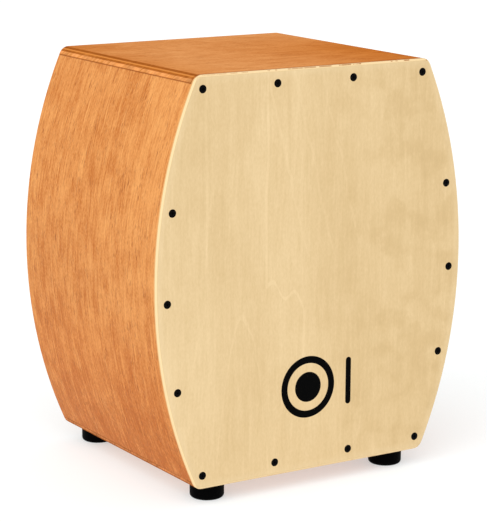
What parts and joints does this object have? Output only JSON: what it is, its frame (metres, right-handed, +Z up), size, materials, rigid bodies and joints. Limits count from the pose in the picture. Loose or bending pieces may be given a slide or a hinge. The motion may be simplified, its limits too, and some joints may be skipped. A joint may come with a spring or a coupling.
{
  "type": "cajon",
  "caption": "Box drum with bowed wooden sides, a thin screwed-on front playing plate, a sound hole in the back, fixed snares and rubber feet.",
  "frame": {"origin": "on the floor, under the middle of the box", "axes": "+Z up, +X to the right as seen from the front, +Y from the front plate towards the back"},
  "size_m": [0.4, 0.3006, 0.469],
  "materials": {
    "seat_wood": "satin",
    "side_wood": "satin",
    "plate_birch": "satin",
    "back_plywood": "satin",
    "batten_pine": "raw",
    "black_screw": "satin black",
    "foot_rubber": "matt",
    "zinc_steel": "zinc plated",
    "snare_steel": "bright",
    "snare_brass": "bright"
  },
  "bodies": {
    "root": {"back_frame_bottom": "batten_pine", "back_frame_left": "batten_pine", "back_frame_right": "batten_pine", "back_frame_top": "batten_pine", "back_panel": "back_plywood", "back_panel_screws": "black_screw", "bottom_panel": "side_wood", "foot_front_left": "foot_rubber", "foot_front_right": "foot_rubber", "foot_rear_left": "foot_rubber", "foot_rear_right": "foot_rubber", "foot_screws": "zinc_steel", "foot_washers": "zinc_steel", "front_frame_bottom": "batten_pine", "front_frame_left": "batten_pine", "front_frame_right": "batten_pine", "front_frame_top": "batten_pine", "front_plate": "plate_birch", "front_plate_screws": "black_screw", "left_side_panel": "side_wood", "right_side_panel": "side_wood", "snare_block_left": "batten_pine", "snare_block_right": "batten_pine", "snare_clip_left": "snare_brass", "snare_clip_right": "snare_brass", "snare_rail": "batten_pine", "snare_screws": "zinc_steel", "snare_wires_left": "snare_steel", "snare_wires_right": "snare_steel", "top_panel": "seat_wood"}
  },
  "joints": []
}
